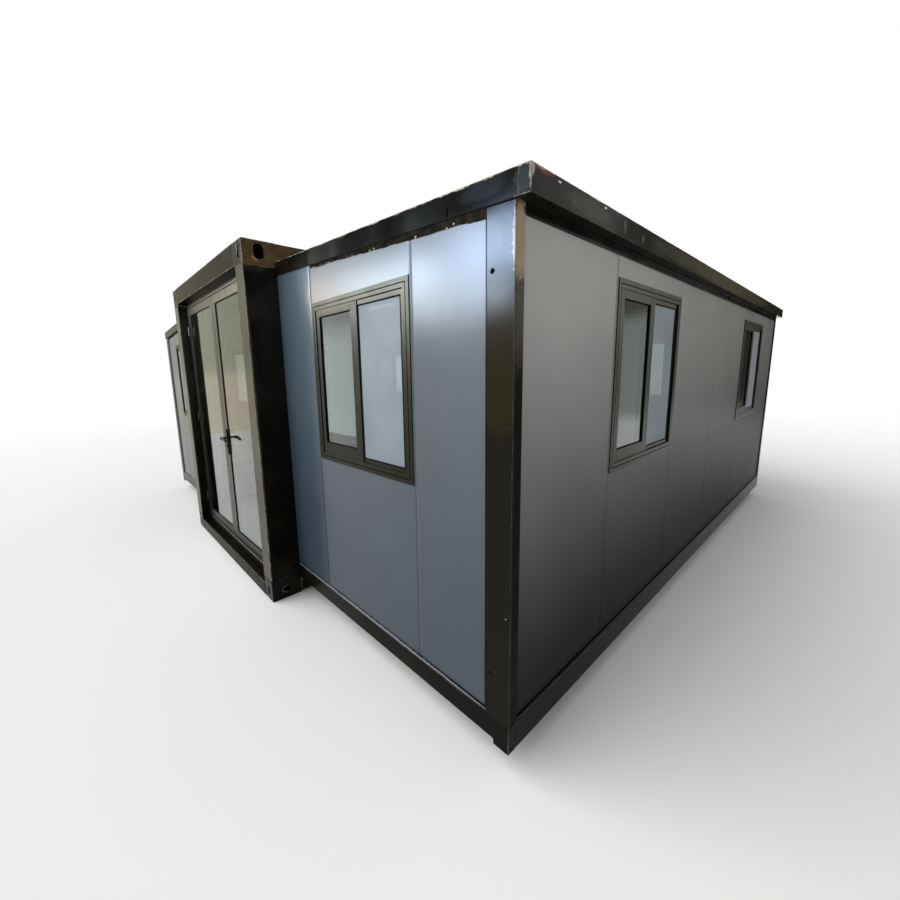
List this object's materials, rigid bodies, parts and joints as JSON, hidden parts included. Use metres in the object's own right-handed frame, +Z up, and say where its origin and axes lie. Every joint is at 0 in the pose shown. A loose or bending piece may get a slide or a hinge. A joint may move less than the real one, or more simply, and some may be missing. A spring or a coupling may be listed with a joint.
{
  "type": "expandable container house",
  "caption": "Steel-framed container house with a folded-out, slope-roofed room on each long side, sliding windows and a glazed double door that swings outward.",
  "frame": {"origin": "on the ground under the middle of the footprint", "axes": "+X to the right across the folded-out width, +Y from the glazed front to the back, +Z up"},
  "size_m": [6.3, 5.9, 2.59],
  "materials": {
    "frame_paint": "gloss black paint on welded steel",
    "roof_skin": "satin painted sheet steel",
    "panel_paint": "semi-gloss slate grey coil-coated sheet",
    "bronze_aluminium": "satin bronze-grey coated extrusion",
    "clear_glass": "clear float glass",
    "handle_black": "satin black",
    "floor_board": "plain sealed board",
    "zinc_steel": "zinc plated"
  },
  "bodies": {
    "house": {"core_posts": "frame_paint", "top_castings": "frame_paint", "bottom_castings": "frame_paint", "top_end_beams": "frame_paint", "bottom_end_beams": "frame_paint", "top_side_rails": "frame_paint", "bottom_side_rails": "frame_paint", "core_joists": "frame_paint", "wing_floor_beams": "frame_paint", "wing_joists": "frame_paint", "floor_hinges": "frame_paint", "wing_corner_posts": "frame_paint", "wall_rails": "frame_paint", "roof_fascias": "frame_paint", "core_roof": "roof_skin", "right_roof": "roof_skin", "left_roof": "roof_skin", "core_back_wall": "panel_paint", "right_side_wall": "panel_paint", "left_side_wall": "panel_paint", "right_front_wall": "panel_paint", "right_back_wall": "panel_paint", "left_front_wall": "panel_paint", "left_back_wall": "panel_paint", "door_frame": "bronze_aluminium", "door_hinge_pins": "bronze_aluminium", "right_window_frames": "bronze_aluminium", "left_window_frames": "bronze_aluminium", "right_window_sashes": "bronze_aluminium", "left_window_sashes": "bronze_aluminium", "right_window_glass": "clear_glass", "left_window_glass": "clear_glass", "core_floor": "floor_board", "right_floor": "floor_board", "left_floor": "floor_board", "wing_feet": "zinc_steel"},
    "left_leaf": {"left_door": "bronze_aluminium", "left_door_glass": "clear_glass", "left_door_hinges": "bronze_aluminium"},
    "right_leaf": {"right_door": "bronze_aluminium", "right_door_glass": "clear_glass", "right_door_hinges": "bronze_aluminium", "lever_plates": "handle_black"},
    "lever": {"door_lever": "handle_black"}
  },
  "joints": [
    {"name": "left_door_swing", "type": "hinge", "parent": "house", "child": "left_leaf", "pos_m": [-0.904, -2.88, 1.273], "axis": [0, 0, -1], "range_deg": [0, 110]},
    {"name": "right_door_swing", "type": "hinge", "parent": "house", "child": "right_leaf", "pos_m": [0.904, -2.88, 1.273], "axis": [0, 0, 1], "range_deg": [0, 110]},
    {"name": "lever_turn", "type": "hinge", "parent": "right_leaf", "child": "lever", "pos_m": [0.039, -2.87, 1.14], "axis": [0, 1, 0], "range_deg": [0, 40], "stiffness_Nm_per_rad": 1.2}
  ]
}
